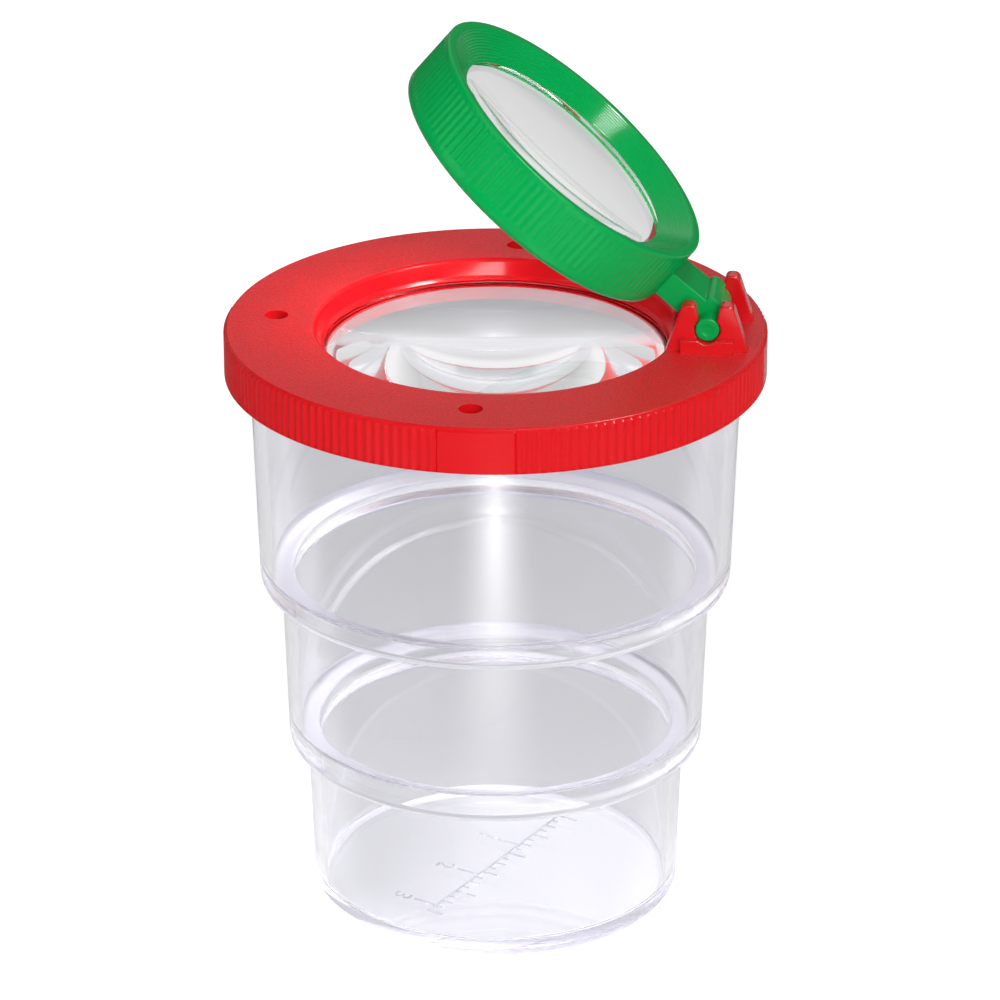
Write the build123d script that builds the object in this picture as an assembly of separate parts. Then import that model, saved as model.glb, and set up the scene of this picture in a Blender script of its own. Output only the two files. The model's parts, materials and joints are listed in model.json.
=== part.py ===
"""Bug catcher jar: stepped clear pot, red lid with a fixed lens, green flip-up magnifier.

Millimetres, +Z up. The origin is the centre of the pot's underside, on the table.
The hinge of the magnifier is on the +X side, with its pin along Y.
"""
import os
from math import radians, tan

from build123d import *

# Pot: three drafted tiers, each standing on a rounded shoulder
FOOT_RADIUS = 23.6          # outside, lowest tier at the table
LOWER_STEP_WIDTH = 2.36     # how far the middle tier stands out over the lowest
UPPER_STEP_WIDTH = 2.65     # how far the top tier stands out over the middle one
LOWER_TIER_HEIGHT = 20.7
MIDDLE_TIER_HEIGHT = 22.6
UPPER_TIER_HEIGHT = 32.55
DRAFT_ANGLE = 1.9           # degrees that every wall leans outwards
POT_WALL = 1.6
FLOOR_THICKNESS = 2.0
LOWER_LEDGE = 3.5           # thickness of the ring-shaped steps inside
UPPER_LEDGE = 2.7
FOOT_ROUND = 1.4            # outside corner at the table
SHOULDER_ROUND = 1.6        # outside corner under each step
SHOULDER_SHARE = 0.7        # most of a step's width that its outside corner may take
INSIDE_ROUND = 0.8          # hollow corners inside the pot
LEDGE_EDGE_ROUND = 0.4      # inner edge of each step
STEP_ROUND = 0.5            # hollow corner under each step, outside
STEP_SHARE = 0.25           # most of a step's width that the hollow corner may take
COLLAR_PROUD = 0.9          # how far the mouth's collar stands out from the wall
COLLAR_HEIGHT = 2.8
MOUTH_ROUND = 0.4

# Lid: plate, skirt and the well that holds the fixed lens
LID_SEAT_GAP = 0.1          # lid plate above the mouth
COLLAR_CLEARANCE = 0.2      # skirt round the collar
PLATE_THICKNESS = 1.8
SKIRT_WALL = 1.95
SKIRT_DEPTH = 5.9           # from the lid's top face
LID_EDGE_ROUND = 0.6
WELL_MARGIN = 2.4           # well's mouth beyond the closed magnifier's rim
WELL_DEPTH = 2.9            # lid's top face to the lens
WELL_TAPER = 0.7            # the well narrows by this much on its way down
WELL_EDGE_ROUND = 0.5
WELL_WALL = 1.5
BEAD_HEIGHT = 0.8           # snap bead that keeps a lens in
BEAD_OVERLAP = 0.45         # bead over the lens's edge
SEAT_LIP_WIDTH = 0.9        # shelf under the lid lens's flange
SEAT_LIP_THICKNESS = 1.2
AIR_HOLE_DIAMETER = 3.0
AIR_HOLE_INSET = 1.73       # middle of each hole inside the pot's bore
AIR_HOLE_BEARINGS = (90, 180, 270)

# Lenses
LENS_CLEARANCE = 0.15       # lens's edge to the bore round it
LID_LENS_FLANGE = 1.5       # thickness at the edge
LID_LENS_CROWN = 2.1        # height of each of its two curved faces
MAGNIFIER_LENS_SEAT = 1.15  # lens's edge under the lip of the opening
MAGNIFIER_LENS_FLANGE = 4.5  # thickness at the edge, nearly the whole depth of the ring
MAGNIFIER_LENS_CROWN = 0.6  # height of each of its two curved faces
CROWN_MARGIN = 0.25         # curved face stops this far inside the opening

# Hinge on the lid
PIN_SETBACK = 7.12          # pin axis inside the lid's edge
PIN_RISE = 2.8              # pin axis above the lid's top face
PIN_DIAMETER = 3.0
PIN_CLEARANCE = 0.1         # socket round the pin
PIN_LENGTH = 2.45           # each pin, from the arm's side
HORN_RISE = 3.2             # horn tops above the pin axis
HORN_TOP_SPAN = 6.3         # across a pair of horns at the top
HORN_BASE_SPAN = 10.2       # across a pair of horns at the lid
HORN_TIP_ROUND = 0.65
HORN_TIP_SHARE = 0.45       # most of a horn's width that one tip corner may take
THROAT_WIDTH = 2.3          # snap-in gap at the pin axis
THROAT_MOUTH = 3.1          # snap-in gap at the horn tops
HINGE_FOOT_SPAN = 6.6       # low block in front of each pair
HINGE_FOOT_DEPTH = 0.9
HINGE_FOOT_HEIGHT = 1.7

# Magnifier: ring, arm and pins in one moulding
ARM_REACH = 7.16            # pin axis to the ring's rim
RING_OFFSET = 0.4           # ring's centre beyond the lid's, away from the hinge
RING_LIFT = 0.5             # ring's underside above the lid's top face when closed
RING_FACE_WIDTH = 4.85      # ring's rim to its opening
RING_EDGE_ROUND = 0.85
CREST_WIDTH = 1.2           # flat top between the outer edge and the dish
CREST_SHARE = 0.75          # most of the crest that the ring's edge rounding may take
DISH_DEPTH = 1.9
DISH_LIP_WIDTH = 0.3        # step from the foot of the dish to the opening
DISH_LIP_DROP = 0.15
LIP_THICKNESS = 0.4         # lip above the magnifier's lens
RING_BEAD_HEIGHT = 0.7
RING_BEAD_OVERLAP = 0.3
RING_FOOT = 0.75            # ring below its snap bead
RING_FOOT_WALL = 2.1        # ring's wall at its underside
ARM_WIDTH = 7.7
ARM_RISE = 2.03             # arm's upper face above the pin axis
ARM_THICKNESS = 3.55
ARM_SIDE_GAP = 0.3          # arm to the horns on each side
ARM_ROOT = 1.2              # how far the arm is let into the ring
BARREL_WALL = 0.85          # arm's round end outside the pin's radius
LUG_HEIGHT = 0.85           # low cross lug on the arm, above its upper face
LUG_LENGTH = 2.15           # along the arm
LUG_START = 0.1             # from the pin axis
LUG_ROUND = 0.7
LUG_SHARE = 0.4             # most of the lug's length that one of its roundings may take
OPEN_ANGLE = 40.0           # magnifier's lift from closed, degrees

# Places that follow from the sizes above
LEAN = tan(radians(DRAFT_ANGLE))
LOWER_STEP_Z = LOWER_TIER_HEIGHT
UPPER_STEP_Z = LOWER_STEP_Z + MIDDLE_TIER_HEIGHT
MOUTH_Z = UPPER_STEP_Z + UPPER_TIER_HEIGHT
FOOT_TOP_RADIUS = FOOT_RADIUS + LOWER_TIER_HEIGHT * LEAN
WAIST_RADIUS = FOOT_TOP_RADIUS + LOWER_STEP_WIDTH
WAIST_TOP_RADIUS = WAIST_RADIUS + MIDDLE_TIER_HEIGHT * LEAN
SHOULDER_RADIUS = WAIST_TOP_RADIUS + UPPER_STEP_WIDTH
MOUTH_RADIUS = SHOULDER_RADIUS + UPPER_TIER_HEIGHT * LEAN
MOUTH_BORE = MOUTH_RADIUS - POT_WALL
COLLAR_RADIUS = MOUTH_RADIUS + COLLAR_PROUD
LID_UNDER_Z = MOUTH_Z + LID_SEAT_GAP
LID_TOP_Z = LID_UNDER_Z + PLATE_THICKNESS
SKIRT_BORE = COLLAR_RADIUS + COLLAR_CLEARANCE
LID_RADIUS = SKIRT_BORE + SKIRT_WALL
AIR_HOLE_CIRCLE = MOUTH_BORE - AIR_HOLE_INSET
PIN_DISTANCE = LID_RADIUS - PIN_SETBACK
RING_RADIUS = PIN_DISTANCE - ARM_REACH + RING_OFFSET
WELL_RADIUS = RING_RADIUS + WELL_MARGIN
LID_LENS_RADIUS = WELL_RADIUS - WELL_TAPER
LID_LENS_TOP_Z = LID_TOP_Z - WELL_DEPTH
LID_LENS_SEAT_Z = LID_LENS_TOP_Z - LID_LENS_FLANGE
LID_LENS_BORE = LID_LENS_RADIUS + LENS_CLEARANCE
SEAT_LIP_RADIUS = LID_LENS_RADIUS - SEAT_LIP_WIDTH
PIN_Z = LID_TOP_Z + PIN_RISE
PIN_RADIUS = PIN_DIAMETER / 2
BARREL_RADIUS = PIN_RADIUS + BARREL_WALL
HORN_INSIDE = ARM_WIDTH / 2 + ARM_SIDE_GAP
HORN_OUTSIDE = ARM_WIDTH / 2 + PIN_LENGTH
RING_BOTTOM_Z = LID_TOP_Z + RING_LIFT
MAGNIFIER_LENS_UNDER_Z = RING_BOTTOM_Z + RING_FOOT + RING_BEAD_HEIGHT
MAGNIFIER_LENS_TOP_Z = MAGNIFIER_LENS_UNDER_Z + MAGNIFIER_LENS_FLANGE
LIP_TOP_Z = MAGNIFIER_LENS_TOP_Z + LIP_THICKNESS
RING_TOP_Z = LIP_TOP_Z + DISH_LIP_DROP + DISH_DEPTH
OPENING_RADIUS = RING_RADIUS - RING_FACE_WIDTH
DISH_FOOT_RADIUS = OPENING_RADIUS + DISH_LIP_WIDTH
MAGNIFIER_LENS_RADIUS = OPENING_RADIUS + MAGNIFIER_LENS_SEAT
MAGNIFIER_LENS_BORE = MAGNIFIER_LENS_RADIUS + LENS_CLEARANCE
HINGE_AXIS = Axis((PIN_DISTANCE, 0, PIN_Z), (0, 1, 0))


def turned(corners):
    """Turn a closed outline of (radius, height, corner rounding) about Z."""
    points = [(radius, height) for radius, height, rounding in corners]
    roundings = [rounding for radius, height, rounding in corners]
    outline = FilletPolyline(*points, radius=roundings, close=True)
    return revolve(Plane.XZ * make_face(outline), Axis.Z)


def crown(radius, height, base_z, upwards):
    """Shallow dome that stands on a flat circle at base_z."""
    tip_z = base_z + height if upwards else base_z - height
    side = Line((0, base_z), (0, tip_z))
    base = Line((0, base_z), (radius, base_z))
    sphere_radius = (radius**2 + height**2) / (2 * height)
    dome = RadiusArc((radius, base_z), (0, tip_z), -sphere_radius if upwards else sphere_radius)
    return revolve(Plane.XZ * make_face([side, base, dome]), Axis.Z)


def make_pot():
    """Clear pot: outside steps inwards twice, the inside follows with flat ledges."""
    lower_ledge_z = LOWER_STEP_Z + LOWER_LEDGE
    upper_ledge_z = UPPER_STEP_Z + UPPER_LEDGE
    collar_z = MOUTH_Z - COLLAR_HEIGHT
    outside = [
        (0, 0, 0),
        (FOOT_RADIUS, 0, FOOT_ROUND),
        (FOOT_TOP_RADIUS, LOWER_STEP_Z, min(STEP_ROUND, STEP_SHARE * LOWER_STEP_WIDTH)),
        (WAIST_RADIUS, LOWER_STEP_Z, min(SHOULDER_ROUND, SHOULDER_SHARE * LOWER_STEP_WIDTH)),
        (WAIST_TOP_RADIUS, UPPER_STEP_Z, min(STEP_ROUND, STEP_SHARE * UPPER_STEP_WIDTH)),
        (SHOULDER_RADIUS, UPPER_STEP_Z, min(SHOULDER_ROUND, SHOULDER_SHARE * UPPER_STEP_WIDTH)),
        (MOUTH_RADIUS - COLLAR_HEIGHT * LEAN, collar_z, 0),
        (COLLAR_RADIUS, collar_z, MOUTH_ROUND),
        (COLLAR_RADIUS, MOUTH_Z, MOUTH_ROUND),
    ]
    inside = [
        (MOUTH_BORE, MOUTH_Z, MOUTH_ROUND),
        (SHOULDER_RADIUS + UPPER_LEDGE * LEAN - POT_WALL, upper_ledge_z, INSIDE_ROUND),
        (WAIST_TOP_RADIUS - POT_WALL, upper_ledge_z, LEDGE_EDGE_ROUND),
        (WAIST_RADIUS + LOWER_LEDGE * LEAN - POT_WALL, lower_ledge_z, INSIDE_ROUND),
        (FOOT_TOP_RADIUS - POT_WALL, lower_ledge_z, LEDGE_EDGE_ROUND),
        (FOOT_RADIUS + FLOOR_THICKNESS * LEAN - POT_WALL, FLOOR_THICKNESS, INSIDE_ROUND),
        (0, FLOOR_THICKNESS, 0),
    ]
    return turned(outside + inside)


def make_horn_pair():
    """One plate of the hinge, at the lid's centre plane: two horns round a snap-in socket."""
    half_base = HORN_BASE_SPAN / 2
    half_top = HORN_TOP_SPAN / 2
    root_z = LID_TOP_Z - PLATE_THICKNESS / 2
    root_half = half_base + (half_base - half_top) * PLATE_THICKNESS / 2 / (PIN_RISE + HORN_RISE)
    top_z = PIN_Z + HORN_RISE
    feet = [(-root_half, root_z), (root_half, root_z)]
    tops = [(half_top, top_z), (-half_top, top_z)]
    side = Polyline(*feet, *tops, close=True)
    socket = Pos(0, PIN_Z) * Circle(PIN_RADIUS + PIN_CLEARANCE)
    throat_foot = [(-THROAT_WIDTH / 2, PIN_Z), (THROAT_WIDTH / 2, PIN_Z)]
    throat_mouth = [(THROAT_MOUTH / 2, top_z), (-THROAT_MOUTH / 2, top_z)]
    throat = make_face(Polyline(*throat_foot, *throat_mouth, close=True))
    plate = make_face(side) - socket - throat
    tips = plate.vertices().filter_by(lambda corner: corner.Y > PIN_Z + HORN_RISE / 2)
    horn_width = (HORN_TOP_SPAN - THROAT_MOUTH) / 2
    plate = fillet(tips, min(HORN_TIP_ROUND, HORN_TIP_SHARE * horn_width))
    return extrude(Plane.XZ * plate, HORN_OUTSIDE - HORN_INSIDE)


def make_hinge():
    """Both pairs of horns with their feet, let into the lid's plate."""
    root = PLATE_THICKNESS / 2
    foot_depth = HORN_OUTSIDE - HORN_INSIDE + HINGE_FOOT_DEPTH
    foot_y = HORN_INSIDE + foot_depth / 2
    foot_z = LID_TOP_Z + (HINGE_FOOT_HEIGHT - root) / 2
    foot = Box(HINGE_FOOT_SPAN, foot_depth, HINGE_FOOT_HEIGHT + root)
    pin_room = Cylinder(PIN_RADIUS + PIN_CLEARANCE, 2 * (foot_y + foot_depth), rotation=(90, 0, 0))
    pair = make_horn_pair()
    hinge = Pos(PIN_DISTANCE, HORN_OUTSIDE, 0) * pair + Pos(PIN_DISTANCE, -HORN_INSIDE, 0) * pair
    for side in (-1, 1):
        hinge += Pos(PIN_DISTANCE, side * foot_y, foot_z) * foot
    hinge -= Pos(PIN_DISTANCE, 0, PIN_Z) * pin_room
    well = Pos(0, 0, LID_TOP_Z - root) * Cylinder(WELL_RADIUS, PLATE_THICKNESS)
    return hinge - well


def make_lid():
    """Red lid: plate, skirt, lens well, air holes and the hinge horns."""
    bead_radius = LID_LENS_RADIUS - BEAD_OVERLAP
    lip_under_z = LID_LENS_SEAT_Z - SEAT_LIP_THICKNESS
    outer_wall = LID_LENS_BORE + WELL_WALL
    body = turned([
        (LID_RADIUS, LID_TOP_Z - SKIRT_DEPTH, 0),
        (LID_RADIUS, LID_TOP_Z, LID_EDGE_ROUND),
        (WELL_RADIUS, LID_TOP_Z, WELL_EDGE_ROUND),
        (WELL_RADIUS - WELL_TAPER, LID_LENS_TOP_Z + BEAD_HEIGHT, 0),
        (bead_radius, LID_LENS_TOP_Z + BEAD_HEIGHT / 2, BEAD_HEIGHT / 4),
        (LID_LENS_BORE, LID_LENS_TOP_Z, 0),
        (LID_LENS_BORE, LID_LENS_SEAT_Z, 0),
        (SEAT_LIP_RADIUS, LID_LENS_SEAT_Z, 0),
        (SEAT_LIP_RADIUS, lip_under_z, 0),
        (outer_wall, lip_under_z, 0),
        (outer_wall, LID_UNDER_Z, 0),
        (SKIRT_BORE, LID_UNDER_Z, 0),
        (SKIRT_BORE, LID_TOP_Z - SKIRT_DEPTH, 0),
    ])
    air_hole = Cylinder(AIR_HOLE_DIAMETER / 2, 2 * SKIRT_DEPTH)
    for bearing in AIR_HOLE_BEARINGS:
        body -= Rot(0, 0, bearing) * Pos(AIR_HOLE_CIRCLE, 0, LID_TOP_Z) * air_hole
    return body + make_hinge()


def make_lid_lens():
    """Fixed lens of the lid: curved on both faces, with a flange on the seat lip."""
    flange = turned([
        (0, LID_LENS_SEAT_Z, 0),
        (LID_LENS_RADIUS, LID_LENS_SEAT_Z, 0),
        (LID_LENS_RADIUS, LID_LENS_TOP_Z, 0),
        (0, LID_LENS_TOP_Z, 0),
    ])
    crown_radius = SEAT_LIP_RADIUS - CROWN_MARGIN
    upper = crown(crown_radius, LID_LENS_CROWN, LID_LENS_TOP_Z, upwards=True)
    lower = crown(crown_radius, LID_LENS_CROWN, LID_LENS_SEAT_Z, upwards=False)
    return flange + upper + lower


def swung(solid):
    """Lift a closed magnifier piece about the hinge to the open rest pose."""
    return solid.rotate(HINGE_AXIS, OPEN_ANGLE)


def make_magnifier_frame():
    """Green ring with a dished face, the arm and both hinge pins, lifted to the rest pose."""
    bead_radius = MAGNIFIER_LENS_RADIUS - RING_BEAD_OVERLAP
    edge_round = min(RING_EDGE_ROUND, CREST_SHARE * CREST_WIDTH)
    ring = turned([
        (RING_RADIUS, RING_BOTTOM_Z, edge_round),
        (RING_RADIUS, RING_TOP_Z, edge_round),
        (RING_RADIUS - CREST_WIDTH, RING_TOP_Z, 0),
        (DISH_FOOT_RADIUS, RING_TOP_Z - DISH_DEPTH, 0),
        (DISH_FOOT_RADIUS, LIP_TOP_Z, 0),
        (OPENING_RADIUS, LIP_TOP_Z, 0),
        (OPENING_RADIUS, MAGNIFIER_LENS_TOP_Z, 0),
        (MAGNIFIER_LENS_BORE, MAGNIFIER_LENS_TOP_Z, 0),
        (MAGNIFIER_LENS_BORE, MAGNIFIER_LENS_UNDER_Z, 0),
        (bead_radius, MAGNIFIER_LENS_UNDER_Z - RING_BEAD_HEIGHT / 2, 0),
        (MAGNIFIER_LENS_BORE, MAGNIFIER_LENS_UNDER_Z - RING_BEAD_HEIGHT, 0),
        (RING_RADIUS - RING_FOOT_WALL, RING_BOTTOM_Z, 0),
    ])
    arm_length = ARM_REACH + ARM_ROOT
    arm_z = PIN_Z + ARM_RISE - ARM_THICKNESS / 2
    arm = Pos(PIN_DISTANCE - arm_length / 2, 0, arm_z) * Box(arm_length, ARM_WIDTH, ARM_THICKNESS)
    lug_x = PIN_DISTANCE - LUG_START - LUG_LENGTH / 2
    lug_rise = ARM_RISE + LUG_HEIGHT
    lug = Pos(lug_x, 0, PIN_Z + lug_rise / 2) * Box(LUG_LENGTH, ARM_WIDTH, lug_rise)
    lug_edges = lug.edges().filter_by(Axis.Y).group_by(Axis.Z)[-1]
    arm += fillet(lug_edges, min(LUG_ROUND, LUG_SHARE * LUG_LENGTH))
    at_pin = Pos(PIN_DISTANCE, 0, PIN_Z) * Rot(90, 0, 0)
    barrel = at_pin * Cylinder(BARREL_RADIUS, ARM_WIDTH)
    pins = at_pin * Cylinder(PIN_RADIUS, ARM_WIDTH + 2 * PIN_LENGTH)
    return swung(Pos(-RING_OFFSET, 0, 0) * ring + arm + barrel + pins)


def make_magnifier_lens():
    """Lens of the magnifier, curved on both faces, lifted to the rest pose."""
    flange = turned([
        (0, MAGNIFIER_LENS_UNDER_Z, 0),
        (MAGNIFIER_LENS_RADIUS, MAGNIFIER_LENS_UNDER_Z, 0),
        (MAGNIFIER_LENS_RADIUS, MAGNIFIER_LENS_TOP_Z, 0),
        (0, MAGNIFIER_LENS_TOP_Z, 0),
    ])
    crown_radius = OPENING_RADIUS - CROWN_MARGIN
    upper = crown(crown_radius, MAGNIFIER_LENS_CROWN, MAGNIFIER_LENS_TOP_Z, upwards=True)
    lower = crown(crown_radius, MAGNIFIER_LENS_CROWN, MAGNIFIER_LENS_UNDER_Z, upwards=False)
    return swung(Pos(-RING_OFFSET, 0, 0) * (flange + upper + lower))


PIECES = {
    "jar": make_pot,
    "lid": make_lid,
    "lid_lens": make_lid_lens,
    "magnifier_frame": make_magnifier_frame,
    "magnifier_lens": make_magnifier_lens,
}

os.makedirs("parts", exist_ok=True)
for name, make in PIECES.items():
    piece = make()
    export_step(piece, f"parts/{name}.step")
    print(name, len(piece.solids()), round(piece.volume, 1), "mm3")
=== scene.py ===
"""Looks of a bug catcher jar: clear stepped pot, red lid with a lens, green flip-up magnifier."""

import json
from math import asin, atan2, cos, hypot, pi, radians, sin, sqrt, tan

import bmesh
import bpy
from bpy.props import FloatProperty, FloatVectorProperty, IntProperty, PointerProperty
from mathutils import Euler, Matrix, Vector


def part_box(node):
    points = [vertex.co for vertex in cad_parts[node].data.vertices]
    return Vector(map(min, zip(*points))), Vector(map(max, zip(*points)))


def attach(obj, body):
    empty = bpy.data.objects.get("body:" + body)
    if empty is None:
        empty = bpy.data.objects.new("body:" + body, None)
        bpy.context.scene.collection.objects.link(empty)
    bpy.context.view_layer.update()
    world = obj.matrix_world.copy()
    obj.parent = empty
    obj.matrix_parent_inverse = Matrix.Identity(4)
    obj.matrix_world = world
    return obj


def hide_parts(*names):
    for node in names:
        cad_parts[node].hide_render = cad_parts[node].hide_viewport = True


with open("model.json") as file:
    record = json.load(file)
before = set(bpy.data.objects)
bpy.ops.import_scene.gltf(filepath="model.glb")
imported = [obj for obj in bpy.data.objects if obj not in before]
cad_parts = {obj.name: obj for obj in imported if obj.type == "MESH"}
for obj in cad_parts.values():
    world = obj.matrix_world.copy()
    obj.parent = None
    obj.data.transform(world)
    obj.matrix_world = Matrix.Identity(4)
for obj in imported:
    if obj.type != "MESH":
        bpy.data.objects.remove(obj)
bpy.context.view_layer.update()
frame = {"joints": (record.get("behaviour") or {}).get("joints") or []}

bl_info = {
    "name": "Bug Catcher Jar",
    "version": (1, 0, 0),
    "blender": (4, 5, 0),
    "location": "3D View > Sidebar > Bug Jar",
    "description": "Models and finishes the pieces of a bug catcher jar round its packed frame",
    "category": "Object",
}

MM = 0.001
HINGE = next(joint for joint in frame["joints"] if joint["name"] == "magnifier_hinge")
PIN = Vector(HINGE["pos_m"])
OPEN_ANGLE = radians(-HINGE["range_deg"][0])
OPENING_TURN = Matrix.Rotation(OPEN_ANGLE, 3, "Y")

# The lid's lens, whose crown stays a little under the lid's top face
LID_LENS_SINK = 0.8 * MM
LID_LENS_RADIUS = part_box("lid_lens")[1].x
LID_LENS_EDGE = 1.5 * MM
LID_LENS_CROWN = 2.1 * MM
LID_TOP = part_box("lid_lens")[1].z + LID_LENS_SINK
LID_LENS_TOP = LID_TOP - LID_LENS_SINK - LID_LENS_CROWN

# The magnifier's ring and lens while it lies closed on the lid
RING_UNDER = LID_TOP + 0.5 * MM
FLIP_LENS_EDGE = 4.5 * MM
FLIP_LENS_UNDER = RING_UNDER + 1.45 * MM
FLIP_LENS_TOP = FLIP_LENS_UNDER + FLIP_LENS_EDGE

# The hinge, whose pins turn in the horns' round sockets
PIN_RADIUS = 1.5 * MM
SOCKET_RADIUS = PIN_RADIUS + 0.1 * MM
HORN_INSIDE = 4.15 * MM
HORN_OUTSIDE = 6.3 * MM
HORN_ROOT_Z = LID_TOP - 0.4 * MM

# Refractive indices
POLYSTYRENE_IOR = 1.59
POLYPROPYLENE_IOR = 1.5

# Fineness of the meshes
ROUND_STEPS = 6
POT_STEPS = 240
LENS_STEPS = 180
CROWN_STEPS = 24
PIN_STEPS = 48
RIB_STEPS = 6
SHARP_ANGLE = 40


def linear(hex_text):
    """Linear RGBA of an sRGB hex colour."""
    channels = [int(hex_text[i:i + 2], 16) / 255 for i in (0, 2, 4)]
    return [c / 12.92 if c <= 0.04045 else ((c + 0.055) / 1.055) ** 2.4 for c in channels] + [1.0]


def length(name, description, millimetres):
    """A length property with its default in millimetres."""
    return FloatProperty(
        name=name, description=description, default=millimetres * MM, unit="LENGTH", precision=5)


class BugJarPot(bpy.types.PropertyGroup):
    """Sizes and colour of the clear pot."""
    foot_radius: length("Foot radius", "Outside radius of the lowest tier at the table", 23.6)
    lower_step: length("Lower step", "How far the middle tier stands out", 2.36)
    upper_step: length("Upper step", "How far the top tier stands out", 2.65)
    lower_height: length("Lower tier", "Height of the lowest tier", 20.7)
    middle_height: length("Middle tier", "Height of the middle tier", 22.6)
    upper_height: length("Upper tier", "Height of the top tier", 32.55)
    wall: length("Wall", "Thickness of the pot's wall", 1.6)
    floor: length("Floor", "Thickness of the pot's floor", 2.0)
    lower_ledge: length("Lower ledge", "Thickness of the lower step inside", 3.5)
    upper_ledge: length("Upper ledge", "Thickness of the upper step inside", 2.7)
    draft: FloatProperty(
        name="Draft", description="How far each wall leans outwards", default=radians(1.9), subtype="ANGLE")
    tint: FloatVectorProperty(
        name="Tint", description="Colour that long ways through the plastic take on",
        subtype="COLOR", size=4, default=linear("D8D4EE"))


class BugJarLid(bpy.types.PropertyGroup):
    """Sizes and colour of the lid and its hinge horns."""
    radius: length("Radius", "Outside radius over the ribs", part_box("lid")[1].x / MM)
    skirt_depth: length("Skirt", "Depth of the skirt from the lid's top face", 5.9)
    skirt_wall: length("Skirt wall", "Thickness of the skirt", 1.95)
    plate: length("Plate", "Thickness of the lid's top", 1.8)
    well_radius: length("Well radius", "Mouth of the recess that holds the lens", 22.696)
    rib_depth: length("Rib depth", "How far the ribs stand out", 0.28)
    rib_count: IntProperty(name="Ribs", description="Ribs round the full skirt, pads included", default=180)
    pad_angle: FloatProperty(
        name="Pad angle", description="Width of each smooth pad on the skirt",
        default=radians(16), subtype="ANGLE")
    colour: FloatVectorProperty(
        name="Colour", description="Red of the moulding", subtype="COLOR", size=4, default=linear("DA1119"))


class BugJarMagnifier(bpy.types.PropertyGroup):
    """Sizes and colour of the flip-up magnifier."""
    ring_radius: length("Ring radius", "Outside radius over the ribs", 20.296)
    ring_offset: length("Ring offset", "Ring's centre beyond the lid's, away from the hinge", 0.4)
    opening_radius: length("Opening radius", "Radius of the hole over the lens", 15.446)
    rib_depth: length("Rib depth", "How far the ribs stand out", 0.12)
    rib_count: IntProperty(name="Ribs", description="Ribs round the rim", default=120)
    arm_width: length("Arm width", "Width of the arm between the horns", 7.7)
    colour: FloatVectorProperty(
        name="Colour", description="Green of the moulding", subtype="COLOR", size=4, default=linear("00A64F"))


class BugJarStage(bpy.types.PropertyGroup):
    """Light and camera."""
    camera_distance: length("Camera distance", "From the jar's axis, along the floor", 612)
    camera_height: length("Camera height", "Above the floor", 323.05)
    camera_turn: FloatProperty(
        name="Camera turn", description="Round the jar, from its front",
        default=radians(6.2), subtype="ANGLE")
    camera_pitch: FloatProperty(
        name="Camera pitch", description="Below the horizon", default=radians(23.767), subtype="ANGLE")
    soft_light: FloatProperty(
        name="Soft light", description="Power of the front softbox", default=5.7, unit="POWER")
    card_light: FloatProperty(name="Card light", description="Brightness of the card in front", default=5.0)
    floor_colour: FloatVectorProperty(
        name="Floor", description="Colour of the studio floor",
        subtype="COLOR", size=4, default=linear("EDEDEE"))


def add_node(tree, kind, sockets=None, **settings):
    """Add a node. A value given for a socket is set on it, and another node's socket is linked to it."""
    node = tree.nodes.new(kind)
    for name, value in settings.items():
        setattr(node, name, value)
    for name, value in (sockets or {}).items():
        if isinstance(value, bpy.types.NodeSocket):
            tree.links.new(value, node.inputs[name])
        else:
            node.inputs[name].default_value = value
    return node


def new_material(name):
    """An empty node material and its tree."""
    material = bpy.data.materials.new(name)
    material.use_nodes = True
    material.node_tree.nodes.clear()
    return material, material.node_tree


def clear_polystyrene(name, tint, face_colour, roughness, clarity):
    """Moulded crystal polystyrene: clear, with slow flow ripples and a faint lavender in its depth."""
    material, tree = new_material(name)
    place = add_node(tree, "ShaderNodeTexCoord").outputs["Object"]
    flow = add_node(tree, "ShaderNodeTexNoise", {"Vector": place, "Scale": 1 / (14 * MM), "Detail": 1.0})
    ripple = add_node(tree, "ShaderNodeBump", {
        "Height": flow.outputs["Fac"], "Strength": 0.25, "Distance": 0.15 * MM})
    surface = add_node(tree, "ShaderNodeBsdfPrincipled", {
        "Base Color": linear(face_colour), "Roughness": roughness, "IOR": POLYSTYRENE_IOR,
        "Transmission Weight": clarity, "Normal": ripple.outputs["Normal"]})
    depth = add_node(tree, "ShaderNodeVolumeAbsorption", {"Color": tint, "Density": 10.0})
    add_node(tree, "ShaderNodeOutputMaterial", {
        "Surface": surface.outputs["BSDF"], "Volume": depth.outputs["Volume"]})
    return material


def clear_lens():
    """Moulded crystal polystyrene lens: polished, water-clear, with the faintest dust haze."""
    material, tree = new_material("Clear polystyrene lens")
    place = add_node(tree, "ShaderNodeTexCoord").outputs["Object"]
    haze = add_node(tree, "ShaderNodeTexNoise", {"Vector": place, "Scale": 1 / (6 * MM), "Detail": 3.0})
    rough = add_node(tree, "ShaderNodeMapRange", {
        "Value": haze.outputs["Fac"], "To Min": 0.0, "To Max": 0.02})
    surface = add_node(tree, "ShaderNodeBsdfPrincipled", {
        "Base Color": linear("FBFBFC"), "Roughness": rough.outputs["Result"], "IOR": POLYSTYRENE_IOR,
        "Transmission Weight": 1.0})
    add_node(tree, "ShaderNodeOutputMaterial", {"Surface": surface.outputs["BSDF"]})
    return material


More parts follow.
